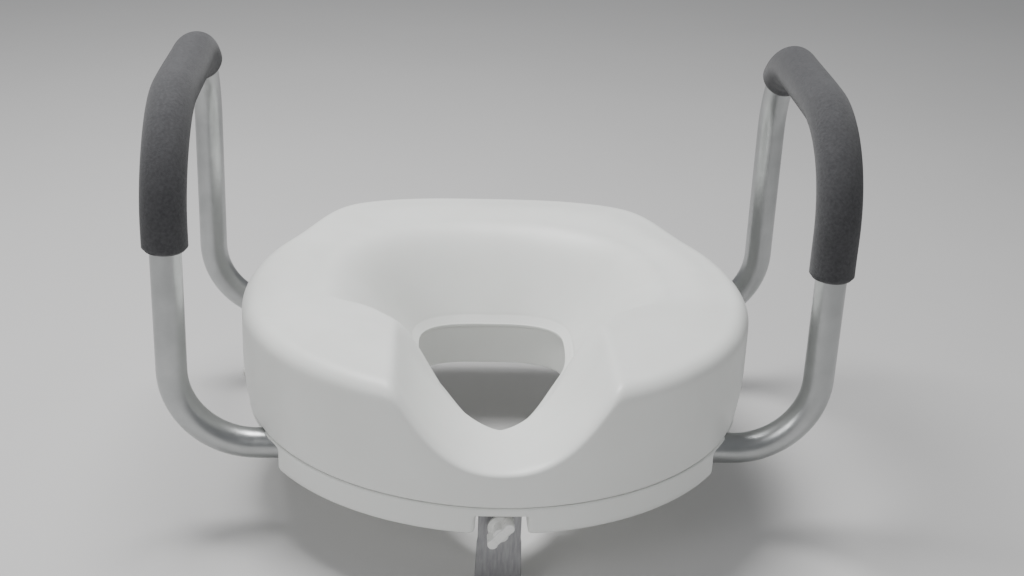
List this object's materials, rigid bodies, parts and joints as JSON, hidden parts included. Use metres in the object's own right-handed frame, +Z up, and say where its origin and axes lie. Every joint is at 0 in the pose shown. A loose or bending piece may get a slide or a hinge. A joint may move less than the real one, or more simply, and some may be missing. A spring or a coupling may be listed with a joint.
{
  "type": "raised toilet seat",
  "caption": "Raised toilet seat: hollow moulded body with a front recess, a screw clamp for the bowl's rim and removable tubular arms with foam grips.",
  "frame": {"origin": "on the surface that the clamp strap and the rear hooks stand on, under the middle of the bounding box", "axes": "+Z up, +Y to the back of the seat, +X to the user's left when seated; X is the symmetry direction"},
  "size_m": [0.568, 0.4315, 0.3715],
  "materials": {
    "white_shell": "moulded white, fine satin sheen",
    "satin_tube": "clear anodised, satin",
    "foam": "closed-cell foam, dark grey, dull",
    "button_steel": "turned, satin",
    "spring_steel": "rolled spring strip",
    "black_plastic": "moulded black",
    "white_trim": "moulded white, smooth",
    "white_nylon": "moulded nylon",
    "rubber": "moulded black rubber",
    "strap_steel": "zinc plated strip, dull grey",
    "zinc_steel": "zinc plated"
  },
  "bodies": {
    "seat": {"top_shell": "white_shell", "base_shell": "white_shell", "bowl_skirt": "white_shell", "left_arm_tube": "satin_tube", "right_arm_tube": "satin_tube", "left_grip": "foam", "right_grip": "foam", "left_end_plugs": "black_plastic", "right_end_plugs": "black_plastic", "left_front_spring": "spring_steel", "left_rear_spring": "spring_steel", "right_front_spring": "spring_steel", "right_rear_spring": "spring_steel", "clamp_nut": "zinc_steel", "guide_plate": "zinc_steel", "guide_screws": "zinc_steel", "left_rear_hook": "white_nylon", "right_rear_hook": "white_nylon", "left_hook_pad": "rubber", "right_hook_pad": "rubber", "hook_screws": "zinc_steel", "rim_pads": "rubber", "shell_pins": "white_trim"},
    "strap": {"clamp_strap": "strap_steel", "strap_pad": "rubber"},
    "screw": {"lock_knob": "white_trim", "clamp_screw": "zinc_steel", "thrust_washer": "zinc_steel", "retaining_clip": "zinc_steel"},
    "left_front_snap": {"left_front_button": "button_steel"},
    "left_rear_snap": {"left_rear_button": "button_steel"},
    "right_front_snap": {"right_front_button": "button_steel"},
    "right_rear_snap": {"right_rear_button": "button_steel"}
  },
  "joints": [
    {"name": "clamp_slide", "type": "slide", "parent": "seat", "child": "strap", "axis": [0, 1, 0], "range_m": [0, 0.015]},
    {"name": "knob_turn", "type": "hinge", "parent": "strap", "child": "screw", "pos_m": [0, -0.192, 0.0655], "axis": [0, 1, 0], "range_deg": [0, 1800]},
    {"name": "left_front_press", "type": "slide", "parent": "seat", "child": "left_front_snap", "axis": [0, 0, 1], "range_m": [0, 0.0045], "stiffness_N_per_m": 700, "springref_m": -0.003, "deforming": ["left_front_spring"]},
    {"name": "left_rear_press", "type": "slide", "parent": "seat", "child": "left_rear_snap", "axis": [0, 0, 1], "range_m": [0, 0.0045], "stiffness_N_per_m": 700, "springref_m": -0.003, "deforming": ["left_rear_spring"]},
    {"name": "right_front_press", "type": "slide", "parent": "seat", "child": "right_front_snap", "axis": [0, 0, 1], "range_m": [0, 0.0045], "stiffness_N_per_m": 700, "springref_m": -0.003, "deforming": ["right_front_spring"]},
    {"name": "right_rear_press", "type": "slide", "parent": "seat", "child": "right_rear_snap", "axis": [0, 0, 1], "range_m": [0, 0.0045], "stiffness_N_per_m": 700, "springref_m": -0.003, "deforming": ["right_rear_spring"]}
  ],
  "couplings": [
    {"joint": "knob_turn", "follows": "clamp_slide", "rad_per_m": 2094}
  ]
}
